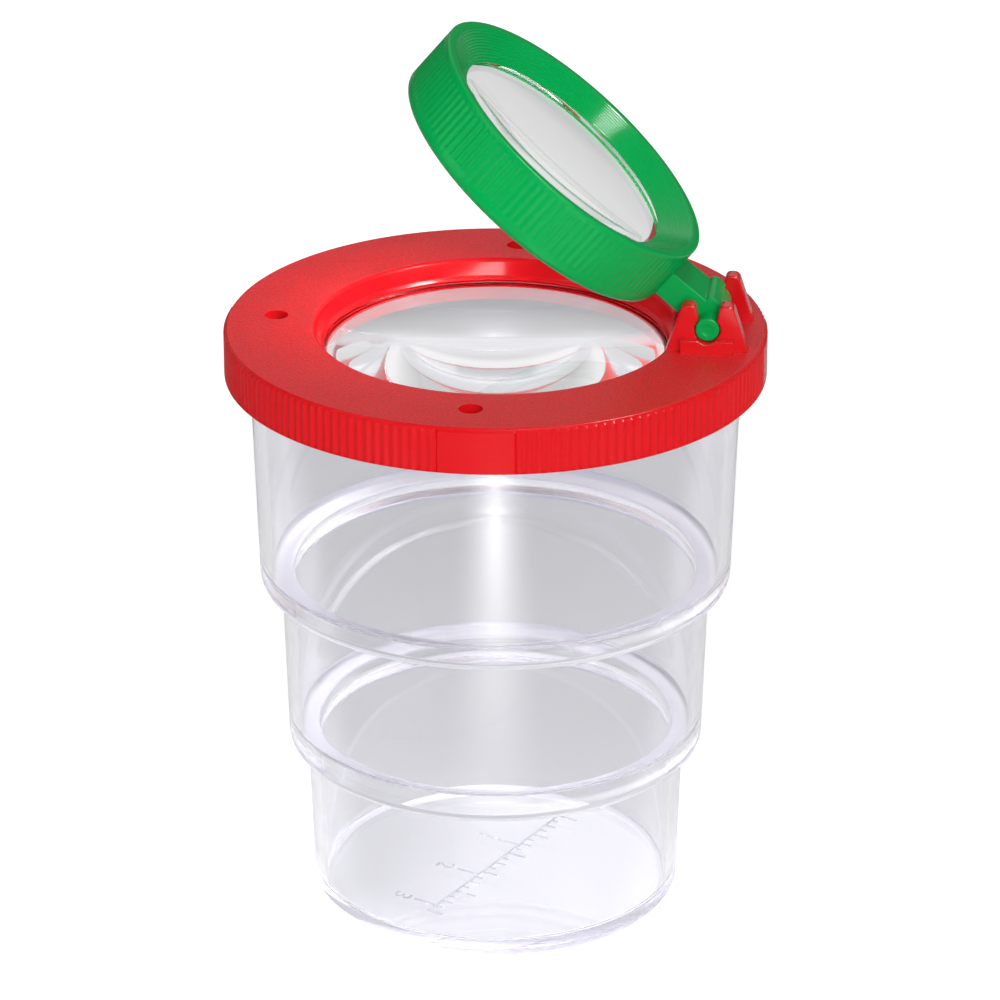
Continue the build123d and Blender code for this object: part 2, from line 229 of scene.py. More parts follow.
def moulded_red(name, colour, roughness, shine, grain_height, speckle):
    """Moulded red polypropylene. Grain taken from the mould breaks its gloss and colour into fine specks."""
    material, tree = new_material(name)
    place = add_node(tree, "ShaderNodeTexCoord").outputs["Object"]
    grain = add_node(tree, "ShaderNodeTexNoise", {"Vector": place, "Scale": 1 / (0.3 * MM), "Detail": 2.0})
    cloud = add_node(tree, "ShaderNodeTexNoise", {"Vector": place, "Scale": 1 / (7 * MM), "Detail": 3.0})
    shade = add_node(tree, "ShaderNodeMapRange", {
        "Value": grain.outputs["Fac"], "From Min": 0.3, "From Max": 0.7,
        "To Min": 1 - speckle, "To Max": 1 + speckle})
    tone = add_node(tree, "ShaderNodeHueSaturation", {"Color": colour, "Value": shade.outputs["Result"]})
    rough = add_node(tree, "ShaderNodeMapRange", {
        "Value": cloud.outputs["Fac"], "To Min": roughness - 0.05, "To Max": roughness + 0.05})
    bump = add_node(tree, "ShaderNodeBump", {
        "Height": grain.outputs["Fac"], "Strength": 0.8, "Distance": grain_height})
    surface = add_node(tree, "ShaderNodeBsdfPrincipled", {
        "Base Color": tone.outputs["Color"], "Roughness": rough.outputs["Result"], "IOR": POLYPROPYLENE_IOR,
        "Specular IOR Level": shine, "Normal": bump.outputs["Normal"]})
    add_node(tree, "ShaderNodeOutputMaterial", {"Surface": surface.outputs["BSDF"]})
    return material


def moulded_green(name, colour, turned):
    """Moulded green polypropylene, satin. On the dish the mould's turning lines show as fine rings."""
    material, tree = new_material(name)
    place = add_node(tree, "ShaderNodeTexCoord").outputs["Object"]
    cloud = add_node(tree, "ShaderNodeTexNoise", {"Vector": place, "Scale": 1 / (6 * MM), "Detail": 3.0})
    shade = add_node(tree, "ShaderNodeMapRange", {
        "Value": cloud.outputs["Fac"], "To Min": 0.95, "To Max": 1.04})
    tone = add_node(tree, "ShaderNodeHueSaturation", {"Color": colour, "Value": shade.outputs["Result"]})
    if turned:
        # The rings lie round the ring's own axis, which the open magnifier tilts
        axis = add_node(tree, "ShaderNodeMapping", {
            "Vector": place, "Location": turned, "Rotation": (0, OPEN_ANGLE, 0)}, vector_type="TEXTURE")
        # At a scale of 1 the wave texture has a ring every 2 pi / 20
        line_pitch = 0.32 * MM
        pattern = add_node(tree, "ShaderNodeTexWave", {
            "Vector": axis.outputs["Vector"], "Scale": 2 * pi / 20 / line_pitch, "Distortion": 0.0},
            wave_type="RINGS", rings_direction="Z")
        rise, gloss, shine = 0.05 * MM, 0.12, 0.14
    else:
        pattern = add_node(tree, "ShaderNodeTexNoise", {
            "Vector": place, "Scale": 1 / (0.5 * MM), "Detail": 2.0})
        rise, gloss, shine = 0.01 * MM, 0.25, 0.15
    bump = add_node(tree, "ShaderNodeBump", {
        "Height": pattern.outputs["Fac"], "Strength": 0.6, "Distance": rise})
    surface = add_node(tree, "ShaderNodeBsdfPrincipled", {
        "Base Color": tone.outputs["Color"], "Roughness": gloss, "IOR": POLYPROPYLENE_IOR,
        "Specular IOR Level": shine, "Normal": bump.outputs["Normal"]})
    add_node(tree, "ShaderNodeOutputMaterial", {"Surface": surface.outputs["BSDF"]})
    return material


def frosted_mark():
    """Etched marks of the mould in clear plastic: they scatter the light, so they look pale grey."""
    material, tree = new_material("Frosted marks")
    place = add_node(tree, "ShaderNodeTexCoord").outputs["Object"]
    grit = add_node(tree, "ShaderNodeTexNoise", {"Vector": place, "Scale": 1 / (0.2 * MM), "Detail": 2.0})
    shade = add_node(tree, "ShaderNodeMapRange", {
        "Value": grit.outputs["Fac"], "To Min": 0.85, "To Max": 1.1})
    tone = add_node(tree, "ShaderNodeHueSaturation", {
        "Color": linear("D2D1DC"), "Value": shade.outputs["Result"]})
    face = add_node(tree, "ShaderNodeBsdfPrincipled", {
        "Base Color": tone.outputs["Color"], "Roughness": 0.6, "IOR": POLYSTYRENE_IOR})
    glow = add_node(tree, "ShaderNodeBsdfTranslucent", {"Color": tone.outputs["Color"]})
    clear = add_node(tree, "ShaderNodeBsdfTransparent")
    body = add_node(tree, "ShaderNodeMixShader", {0: 0.5, 1: face.outputs["BSDF"], 2: glow.outputs["BSDF"]})
    surface = add_node(tree, "ShaderNodeMixShader", {
        0: 0.65, 1: body.outputs["Shader"], 2: clear.outputs["BSDF"]})
    add_node(tree, "ShaderNodeOutputMaterial", {"Surface": surface.outputs["Shader"]})
    return material


def wire(bm, points, closed=False):
    """Chain of edges through points of the XZ plane."""
    verts = [bm.verts.new((x, 0, z)) for x, z in points]
    ends = verts[1:] + verts[:1] if closed else verts[1:]
    for start, end in zip(verts, ends):
        bm.edges.new((start, end))
    return verts


def round_corners(bm, verts, roundings):
    """Round the corners of a wire, each by its own amount."""
    for vert, rounding in zip(verts, roundings):
        if rounding:
            bmesh.ops.bevel(
                bm, geom=[vert], offset=rounding, offset_type="OFFSET", segments=ROUND_STEPS,
                profile=0.5, affect="VERTICES", material=-1)


def arc(bm, vert, centre, angle, steps):
    """Carry a vertex round a centre in the XZ plane, and return where it ends."""
    swept = bmesh.ops.spin(bm, geom=[vert], cent=centre, axis=(0, 1, 0), angle=angle, steps=steps)
    return next(item for item in swept["geom_last"] if isinstance(item, bmesh.types.BMVert))


def turn(bm, steps, centre=(0, 0, 0), axis="Z"):
    """Turn the wire into a closed solid of revolution: a quarter is spun and then doubled twice."""
    quarter = Matrix.Rotation(pi / 2, 3, axis)
    bmesh.ops.spin(
        bm, geom=bm.verts[:] + bm.edges[:], cent=centre, axis={"Y": (0, 1, 0), "Z": (0, 0, 1)}[axis],
        angle=pi / 2, steps=steps // 4)
    for turn_by in (quarter, quarter @ quarter):
        copy = bmesh.ops.duplicate(bm, geom=bm.verts[:] + bm.edges[:] + bm.faces[:])["geom"]
        verts = [item for item in copy if isinstance(item, bmesh.types.BMVert)]
        bmesh.ops.rotate(bm, cent=centre, matrix=turn_by, verts=verts)
    bmesh.ops.remove_doubles(bm, verts=bm.verts[:], dist=0.002 * MM)
    bmesh.ops.recalc_face_normals(bm, faces=bm.faces[:])


def turned_piece(corners, steps, closed=True):
    """Solid of revolution from (radius, height, corner rounding)."""
    bm = bmesh.new()
    verts = wire(bm, [(radius, height) for radius, height, rounding in corners], closed)
    round_corners(bm, verts, [rounding for radius, height, rounding in corners])
    turn(bm, steps)
    return bm


def cut_ribs(bm, count, radius, low, high, depth, spared=None):
    """Push the grooves between ribs into a rim. spared, if given, tells which bearings stay smooth."""
    steps = count * RIB_STEPS
    grooves = {}
    for vert in bm.verts:
        on_rim = abs(hypot(vert.co.x, vert.co.y) - radius) < 0.01 * MM and low <= vert.co.z <= high
        bearing = atan2(vert.co.y, vert.co.x)
        if on_rim and not (spared and spared(bearing)):
            phase = round(bearing / (2 * pi) * steps) % RIB_STEPS
            grooves.setdefault(phase, []).append(vert)
    for phase, verts in grooves.items():
        share = 0.5 + 0.5 * cos(2 * pi * phase / RIB_STEPS)
        inwards = 1 - share * depth / radius
        bmesh.ops.scale(bm, vec=(inwards, inwards, 1), verts=verts)


def slab(bm, y_low, y_high, rounding):
    """Give a closed wire in the XZ plane its thickness along Y, with rounded rims."""
    face = bmesh.ops.contextual_create(bm, geom=bm.edges[:])["faces"][0]
    bmesh.ops.translate(bm, verts=bm.verts[:], vec=(0, y_low, 0))
    grown = bmesh.ops.extrude_face_region(bm, geom=[face], use_keep_orig=True)["geom"]
    moved = [item for item in grown if isinstance(item, bmesh.types.BMVert)]
    bmesh.ops.translate(bm, verts=moved, vec=(0, y_high - y_low, 0))
    bmesh.ops.recalc_face_normals(bm, faces=bm.faces[:])
    if rounding:
        rims = [edge for edge in bm.edges if abs(edge.verts[0].co.y - edge.verts[1].co.y) < 0.001 * MM]
        bmesh.ops.bevel(
            bm, geom=rims, offset=rounding, offset_type="OFFSET", segments=3, profile=0.5,
            affect="EDGES", material=-1)


def absorb(bm, other):
    """Add another bmesh's shape to this one."""
    mesh = bpy.data.meshes.new("part")
    other.to_mesh(mesh)
    other.free()
    bm.from_mesh(mesh)
    bpy.data.meshes.remove(mesh)


def biconvex(radius, flange, under, top, crown):
    """Lens with a flat flange and the same crown above and below."""
    crown_radius = radius - flange
    bend = (crown_radius ** 2 + crown ** 2) / (2 * crown)
    sweep = asin(crown_radius / bend)
    rounding = 0.15 * MM
    bm = bmesh.new()
    verts = wire(bm, [(crown_radius, under), (radius, under), (radius, top), (crown_radius, top)])
    arc(bm, verts[0], (0, 0, under - crown + bend), sweep, CROWN_STEPS)
    arc(bm, verts[-1], (0, 0, top + crown - bend), -sweep, CROWN_STEPS)
    round_corners(bm, verts, [0, rounding, rounding, 0])
    turn(bm, LENS_STEPS)
    return bm


def lift_open(bm):
    """Swing a closed magnifier piece up to its rest pose."""
    bmesh.ops.rotate(bm, cent=PIN, matrix=OPENING_TURN, verts=bm.verts[:])


def link_mesh(name, bm):
    """Put a finished bmesh in the scene as an object."""
    mesh = bpy.data.meshes.new(name)
    bm.to_mesh(mesh)
    bm.free()
    holder = bpy.data.objects.new(name, mesh)
    bpy.context.scene.collection.objects.link(holder)
    return holder


def finish_piece(name, bm, materials, body, node=None, sharp=SHARP_ANGLE):
    """Make the object of a finished bmesh, shade it, and let it ride on its body."""
    for face in bm.faces:
        face.smooth = True
    piece = link_mesh(name, bm)
    for material in materials:
        piece.data.materials.append(material)
    piece.data.set_sharp_from_angle(angle=radians(sharp))
    shading = piece.modifiers.new("Even shading", "WEIGHTED_NORMAL")
    shading.keep_sharp = True
    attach(piece, body)
    if node:
        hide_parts(node)
    return piece


class BUGJAR_OT_pot(bpy.types.Operator):
    """Model the clear pot with its three tiers"""
    bl_idname = "bugjar.pot"
    bl_label = "Clear Pot"

    def execute(self, context):
        pot = context.scene.bug_jar_pot
        lean = tan(pot.draft)
        lower_z = pot.lower_height
        upper_z = lower_z + pot.middle_height
        mouth_z = upper_z + pot.upper_height
        foot_top = pot.foot_radius + pot.lower_height * lean
        waist = foot_top + pot.lower_step
        waist_top = waist + pot.middle_height * lean
        shoulder = waist_top + pot.upper_step
        mouth = shoulder + pot.upper_height * lean
        collar_depth = 2.8 * MM
        collar_z = mouth_z - collar_depth
        collar = mouth + 0.9 * MM
        wall = pot.wall
        lower_ledge_z = lower_z + pot.lower_ledge
        upper_ledge_z = upper_z + pot.upper_ledge
        bm = turned_piece([
            (0, 0, 0),
            (pot.foot_radius, 0, 1.4 * MM),
            (foot_top, lower_z, 0.5 * MM),
            (waist, lower_z, 1.6 * MM),
            (waist_top, upper_z, 0.5 * MM),
            (shoulder, upper_z, 1.6 * MM),
            (mouth - collar_depth * lean, collar_z, 0),
            (collar, collar_z, 0.4 * MM),
            (collar, mouth_z, 0.4 * MM),
            (mouth - wall, mouth_z, 0.4 * MM),
            (shoulder + pot.upper_ledge * lean - wall, upper_ledge_z, 0.8 * MM),
            (waist_top - wall, upper_ledge_z, 0.4 * MM),
            (waist + pot.lower_ledge * lean - wall, lower_ledge_z, 0.8 * MM),
            (foot_top - wall, lower_ledge_z, 0.4 * MM),
            (pot.foot_radius + pot.floor * lean - wall, pot.floor, 0.8 * MM),
            (0, pot.floor, 0),
        ], POT_STEPS, closed=False)
        # Bands of height and radius that have the thick finish: the two ledges and the rim of the foot
        spill = 0.8 * MM
        skin = 0.5 * MM
        zones = (
            (lower_z - spill, lower_ledge_z + spill, 0, waist - skin),
            (upper_z - spill, upper_ledge_z + spill, 0, shoulder - skin),
            (0, pot.floor + 0.3 * MM, pot.foot_radius - 4 * MM, waist),
        )
        slack = 0.15 * MM
        for face in bm.faces:
            centre = face.calc_center_median()
            radius = hypot(centre.x, centre.y)
            face.material_index = int(any(
                low - slack < centre.z < high + slack and near < radius < far + slack
                for low, high, near, far in zones))
        polished = clear_polystyrene("Clear polystyrene", pot.tint, "F9F9FC", 0.02, 1.0)
        thick = clear_polystyrene("Thick polystyrene", pot.tint, "F8F7FD", 0.4, 0.85)
        piece = finish_piece("pot", bm, [polished, thick], "jar", "jar")
        piece.visible_shadow = False
        return {"FINISHED"}


class BUGJAR_OT_scale(bpy.types.Operator):
    """Model the measuring scale that is moulded in the pot's floor"""
    bl_idname = "bugjar.scale"
    bl_label = "Floor Scale"

    def execute(self, context):
        floor_z = context.scene.bug_jar_pot.floor
        inch = 25.4 * MM
        centimetre = 10 * MM
        scale_length = 1.25 * inch
        relief = 0.08 * MM
        line = 0.3 * MM
        bearing = radians(64)
        centimetre_tick = 3.3 * MM
        figure_offset = -5.2 * MM
        tick_lengths = {16: 3.0 * MM, 8: 2.6 * MM, 4: 2.2 * MM, 2: 1.5 * MM, 1: 1.0 * MM}
        bars = [(scale_length / 2, 0, scale_length, line)]
        for sixteenth in range(21):
            size = next(size for part, size in tick_lengths.items() if sixteenth % part == 0)
            bars.append((sixteenth * inch / 16, size / 2, line, size))
        for mark in range(4):
            bars.append((mark * centimetre, -centimetre_tick / 2, line, centimetre_tick))
        bm = bmesh.new()
        for along, across, long, wide in bars:
            cube = bmesh.ops.create_cube(bm, size=1.0)["verts"]
            bmesh.ops.scale(bm, vec=(long, wide, relief), verts=cube)
            bmesh.ops.translate(bm, vec=(along, across, 0), verts=cube)
        for mark in (1, 2, 3):
            absorb(bm, self.numeral(str(mark), mark * centimetre, figure_offset, relief))
        bmesh.ops.translate(bm, vec=(-scale_length / 2, 0, floor_z + relief / 2), verts=bm.verts[:])
        bmesh.ops.rotate(
            bm, cent=(0, 0, 0), matrix=Matrix.Rotation(bearing + pi, 3, "Z"), verts=bm.verts[:])
        finish_piece("floor_scale", bm, [frosted_mark()], "jar")
        return {"FINISHED"}

    def numeral(self, text, along, across, relief):
        """A plain figure as a mesh, lying along the scale."""
        curve = bpy.data.curves.new("numeral", "FONT")
        curve.body = text
        curve.size = 3.4 * MM
        curve.align_x = "CENTER"
        curve.align_y = "CENTER"
        curve.extrude = relief / 2
        holder = bpy.data.objects.new("numeral", curve)
        bpy.context.scene.collection.objects.link(holder)
        bpy.context.view_layer.update()
        depsgraph = bpy.context.evaluated_depsgraph_get()
        mesh = bpy.data.meshes.new_from_object(holder.evaluated_get(depsgraph))
        bpy.data.objects.remove(holder)
        bpy.data.curves.remove(curve)
        bm = bmesh.new()
        bm.from_mesh(mesh)
        bpy.data.meshes.remove(mesh)
        bmesh.ops.translate(bm, vec=(along, across, 0), verts=bm.verts[:])
        return bm


class BUGJAR_OT_lid(bpy.types.Operator):
    """Model the red lid: ribbed skirt, grained top, air holes and the well of the lens"""
    bl_idname = "bugjar.lid"
    bl_label = "Red Lid"

    def execute(self, context):
        lid = context.scene.bug_jar_lid
        bore = LID_LENS_RADIUS + 0.15 * MM
        lip = LID_LENS_RADIUS - 0.9 * MM
        seat_z = LID_LENS_TOP - LID_LENS_EDGE
        seat_under = seat_z - 1.2 * MM
        seat_outside = bore + 1.5 * MM
        skirt_bore = lid.radius - lid.skirt_wall
        skirt_z = LID_TOP - lid.skirt_depth
        rib_top = LID_TOP - 0.5 * MM
        brow = lid.radius - lid.rib_depth
        under = LID_TOP - lid.plate
        bm = turned_piece([
            (lid.radius, skirt_z, 0.1 * MM),
            (lid.radius, rib_top, 0),
            (brow, rib_top + 0.2 * MM, 0),
            (brow, LID_TOP, 0.25 * MM),
            (lid.well_radius, LID_TOP, 0.5 * MM),
            (lid.well_radius - 0.7 * MM, LID_LENS_TOP + 0.8 * MM, 0.1 * MM),
            (LID_LENS_RADIUS - 0.45 * MM, LID_LENS_TOP + 0.4 * MM, 0.15 * MM),
            (bore, LID_LENS_TOP, 0),
            (bore, seat_z, 0),
            (lip, seat_z, 0.15 * MM),
            (lip, seat_under, 0.15 * MM),
            (seat_outside, seat_under, 0.15 * MM),
            (seat_outside, under, 0.2 * MM),
            (skirt_bore, under, 0.2 * MM),
            (skirt_bore, skirt_z, 0.1 * MM),
        ], lid.rib_count * RIB_STEPS)
        half_pad = lid.pad_angle / 2
        pad_turn = radians(2)
        quarter = pi / 2

        def on_pad(bearing):
            turned = bearing - pad_turn
            return abs(turned - round(turned / quarter) * quarter) < half_pad

        cut_ribs(bm, lid.rib_count, lid.radius, skirt_z - MM, rib_top + 0.01 * MM, lid.rib_depth, on_pad)
        bm.normal_update()
        for face in bm.faces:
            centre = face.calc_center_median()
            top = face.normal.z > 0.95 and centre.z > LID_TOP - 0.05 * MM
            well = hypot(centre.x, centre.y) < lid.well_radius and centre.z > LID_LENS_TOP
            face.material_index = 2 if well else 1 if top else 0
        smooth = moulded_red("Red polypropylene", lid.colour, 0.25, 0.15, 0.006 * MM, 0.03)
        grained = moulded_red("Grained red polypropylene", lid.colour, 0.45, 0.42, 0.08 * MM, 0.2)
        gloss = moulded_red("Polished red polypropylene", lid.colour, 0.14, 0.35, 0.002 * MM, 0.02)
        piece = finish_piece("lid_shell", bm, [smooth, grained, gloss], "lid", "lid")
        self.drill(piece, context)
        return {"FINISHED"}

    def drill(self, piece, context):
        """Cut the three air holes."""
        hole_circle = 27.796 * MM
        hole_radius = 1.5 * MM
        bm = bmesh.new()
        for bearing in (90, 180, 270):
            drill = bmesh.ops.create_cone(
                bm, cap_ends=True, segments=48, radius1=hole_radius, radius2=hole_radius,
                depth=8 * MM)["verts"]
            centre = Matrix.Rotation(radians(bearing), 3, "Z") @ Vector((hole_circle, 0, LID_TOP))
            bmesh.ops.translate(bm, vec=centre, verts=drill)
        tool = link_mesh("drill", bm)
        cut = piece.modifiers.new("Air holes", "BOOLEAN")
        cut.operation = "DIFFERENCE"
        cut.solver = "EXACT"
        cut.object = tool
        piece.modifiers["Even shading"].show_viewport = False
        context.view_layer.update()
        drilled = bpy.data.meshes.new_from_object(piece.evaluated_get(context.evaluated_depsgraph_get()))
        piece.modifiers.remove(cut)
        piece.modifiers["Even shading"].show_viewport = True
        piece.data = drilled
        drilled.set_sharp_from_angle(angle=radians(SHARP_ANGLE))
        bpy.data.objects.remove(tool)


class BUGJAR_OT_horns(bpy.types.Operator):
    """Model the two pairs of snap-in hinge horns and their feet"""
    bl_idname = "bugjar.horns"
    bl_label = "Hinge Horns"

    def execute(self, context):
        lid = context.scene.bug_jar_lid
        foot_reach = HORN_OUTSIDE + 0.9 * MM
        bm = bmesh.new()
        for side in (-1, 1):
            near, far = sorted((side * HORN_INSIDE, side * HORN_OUTSIDE))
            absorb(bm, self.pair(near, far))
            near, far = sorted((side * HORN_OUTSIDE, side * foot_reach))
            absorb(bm, self.foot(near - 0.2 * MM, far))
        gloss = moulded_red("Glossy red polypropylene", lid.colour, 0.2, 0.5, 0.003 * MM, 0.03)
        finish_piece("hinge_horns", bm, [gloss], "lid")
        return {"FINISHED"}

    def pair(self, near, far):
        """One plate with a horn each side of the round socket, which is open upwards at its throat."""
        top = PIN.z + 3.2 * MM
        throat = 1.15 * MM
        tip_inside = 1.55 * MM
        tip_outside = 3.15 * MM
        root = 5.23 * MM
        bm = bmesh.new()
        left = bm.verts.new((PIN.x - throat, 0, PIN.z + sqrt(SOCKET_RADIUS ** 2 - throat ** 2)))
        right = arc(bm, left, PIN, 2 * asin(throat / SOCKET_RADIUS) - 2 * pi, 24)
        outer = wire(bm, [
            (PIN.x + tip_inside, top),
            (PIN.x + tip_outside, top),
            (PIN.x + root, HORN_ROOT_Z),
            (PIN.x - root, HORN_ROOT_Z),
            (PIN.x - tip_outside, top),
            (PIN.x - tip_inside, top),
        ])
        bm.edges.new((right, outer[0]))
        bm.edges.new((outer[-1], left))
        round_corners(bm, outer, [0.55 * MM, 0.6 * MM, 0, 0, 0.6 * MM, 0.55 * MM])
        slab(bm, near, far, 0.22 * MM)
        return bm

    def foot(self, near, far):
        """Low block in front of a pair, hollowed under the pin."""
        top = LID_TOP + 1.7 * MM
        drop = PIN.z - top
        start = sqrt(SOCKET_RADIUS ** 2 - drop ** 2)
        half_length = 3.3 * MM
        bm = bmesh.new()
        left = bm.verts.new((PIN.x - start, 0, top))
        right = arc(bm, left, PIN, -2 * asin(start / SOCKET_RADIUS), 14)
        outer = wire(bm, [
            (PIN.x + half_length, top),
            (PIN.x + half_length, HORN_ROOT_Z),
            (PIN.x - half_length, HORN_ROOT_Z),
            (PIN.x - half_length, top),
        ])
        bm.edges.new((right, outer[0]))
        bm.edges.new((outer[-1], left))
        slab(bm, near, far, 0.12 * MM)
        return bm


class BUGJAR_OT_lid_lens(bpy.types.Operator):
    """Model the fixed lens of the lid, curved on both faces"""
    bl_idname = "bugjar.lid_lens"
    bl_label = "Lid Lens"

    def execute(self, context):
        flange = 1.15 * MM
        bm = biconvex(
            LID_LENS_RADIUS, flange, LID_LENS_TOP - LID_LENS_EDGE, LID_LENS_TOP, LID_LENS_CROWN)
        piece = finish_piece(
            "lid_lens_clear", bm, [clear_lens()], "lid", "lid_lens", sharp=20)
        piece.visible_shadow = False
        return {"FINISHED"}


class BUGJAR_OT_ring(bpy.types.Operator):
    """Model the magnifier's ring with its ribbed rim and dished face"""
    bl_idname = "bugjar.ring"
    bl_label = "Magnifier Ring"

    def execute(self, context):
        ring = context.scene.bug_jar_magnifier
        radius, opening = ring.ring_radius, ring.opening_radius
        top = FLIP_LENS_TOP + 2.45 * MM
        bore = opening + 1.3 * MM
        bead_z = FLIP_LENS_UNDER - 0.35 * MM
        rib_low = RING_UNDER + 2.0 * MM
        rib_high = RING_UNDER + 7.45 * MM
        rib_run = 0.2 * MM
        bm = turned_piece([
            (radius, RING_UNDER, 0.85 * MM),
            (radius, rib_low - rib_run, 0),
            (radius, rib_low, 0),
            (radius, rib_high, 0),
            (radius, rib_high + rib_run, 0),
            (radius, top, 0.2 * MM),
            (radius - 1.2 * MM, top, 0.25 * MM),
            (opening, FLIP_LENS_TOP + 0.08 * MM, 0.05 * MM),
            (opening, FLIP_LENS_TOP, 0),
            (bore, FLIP_LENS_TOP, 0),
            (bore, FLIP_LENS_UNDER, 0),
            (bore - 0.45 * MM, bead_z, 0.1 * MM),
            (bore, bead_z - 0.35 * MM, 0),
            (radius - 2.1 * MM, RING_UNDER, 0.3 * MM),
        ], ring.rib_count * RIB_STEPS)
        slack = 0.01 * MM
        cut_ribs(bm, ring.rib_count, radius, rib_low - slack, rib_high + slack, ring.rib_depth)
        bm.normal_update()
        for face in bm.faces:
            centre = face.calc_center_median()
            inside = hypot(centre.x, centre.y) < radius - 1.0 * MM
            dish = inside and FLIP_LENS_TOP < centre.z < top - 0.05 * MM
            face.material_index = 1 if dish and face.normal.z > 0.3 else 0
        shift = Vector((-ring.ring_offset, 0, 0))
        bmesh.ops.translate(bm, vec=shift, verts=bm.verts[:])
        lift_open(bm)
        middle = PIN + OPENING_TURN @ (shift - PIN)
        satin = moulded_green("Green polypropylene", ring.colour, None)
        lathe = moulded_green("Turned green polypropylene", ring.colour, middle)
        finish_piece(
            "magnifier_ring", bm, [satin, lathe], "magnifier", "magnifier_frame", sharp=35)
        return {"FINISHED"}


class BUGJAR_OT_arm(bpy.types.Operator):
    """Model the magnifier's arm with its round end, cross lug and hinge pins"""
    bl_idname = "bugjar.arm"
    bl_label = "Magnifier Arm"

    def execute(self, context):
        magnifier = context.scene.bug_jar_magnifier
        half_width = magnifier.arm_width / 2
        barrel = 2.35 * MM
        rise = 2.03 * MM
        drop = rise - 3.55 * MM
        root = -8.2 * MM
        lug_top = rise + 0.85 * MM
        lug_near, lug_far = -0.1 * MM, -2.25 * MM
        start = -sqrt(barrel ** 2 - drop ** 2)
        start_angle = atan2(drop, start)
        end_angle = atan2(sqrt(barrel ** 2 - lug_near ** 2), lug_near)
        bm = bmesh.new()
        first = bm.verts.new((PIN.x + start, 0, PIN.z + drop))
        last = arc(bm, first, PIN, -(end_angle - start_angle) % (2 * pi) - 2 * pi, 32)
        outer = wire(bm, [
            (PIN.x + lug_near, PIN.z + lug_top),
            (PIN.x + lug_far, PIN.z + lug_top),
            (PIN.x + lug_far, PIN.z + rise),
            (PIN.x + root, PIN.z + rise),
            (PIN.x + root, PIN.z + drop),
        ])
        bm.edges.new((last, outer[0]))
        bm.edges.new((outer[-1], first))
        round_corners(bm, outer, [0.6 * MM, 0.75 * MM, 0.3 * MM, 0, 0])
        slab(bm, -half_width, half_width, 0.2 * MM)
        absorb(bm, self.pin())
        lift_open(bm)
        satin = moulded_green("Green arm", magnifier.colour, None)
        finish_piece("magnifier_arm", bm, [satin], "magnifier", sharp=35)
        return {"FINISHED"}

    def pin(self):
        """Hinge pin right through the arm, with dimpled ends."""
        reach = HORN_OUTSIDE
        dimple_floor = reach - 0.12 * MM
        half = [
            (PIN_RADIUS, reach, 0.22 * MM),
            (0.8 * MM, reach, 0.1 * MM),
            (0.55 * MM, dimple_floor, 0.15 * MM),
            (0, dimple_floor, 0),
        ]
        corners = [(across, -along, rounding) for across, along, rounding in reversed(half)] + half
        bm = bmesh.new()
        verts = [bm.verts.new((PIN.x + across, along, PIN.z)) for across, along, rounding in corners]
        for start, end in zip(verts, verts[1:]):
            bm.edges.new((start, end))
        round_corners(bm, verts, [rounding for across, along, rounding in corners])
        turn(bm, PIN_STEPS, PIN, "Y")
        return bm


class BUGJAR_OT_magnifier_lens(bpy.types.Operator):
    """Model the magnifier's lens, curved on both faces"""
    bl_idname = "bugjar.magnifier_lens"
    bl_label = "Magnifier Lens"

    def execute(self, context):
        magnifier = context.scene.bug_jar_magnifier
        radius = magnifier.opening_radius + 1.15 * MM
        flange = 1.4 * MM
        crown = 0.6 * MM
        bm = biconvex(radius, flange, FLIP_LENS_UNDER, FLIP_LENS_TOP, crown)
        bmesh.ops.translate(bm, vec=(-magnifier.ring_offset, 0, 0), verts=bm.verts[:])
        lift_open(bm)
        piece = finish_piece(
            "magnifier_lens_clear", bm, [clear_lens()], "magnifier", "magnifier_lens", sharp=20)
        piece.visible_shadow = False
        return {"FINISHED"}


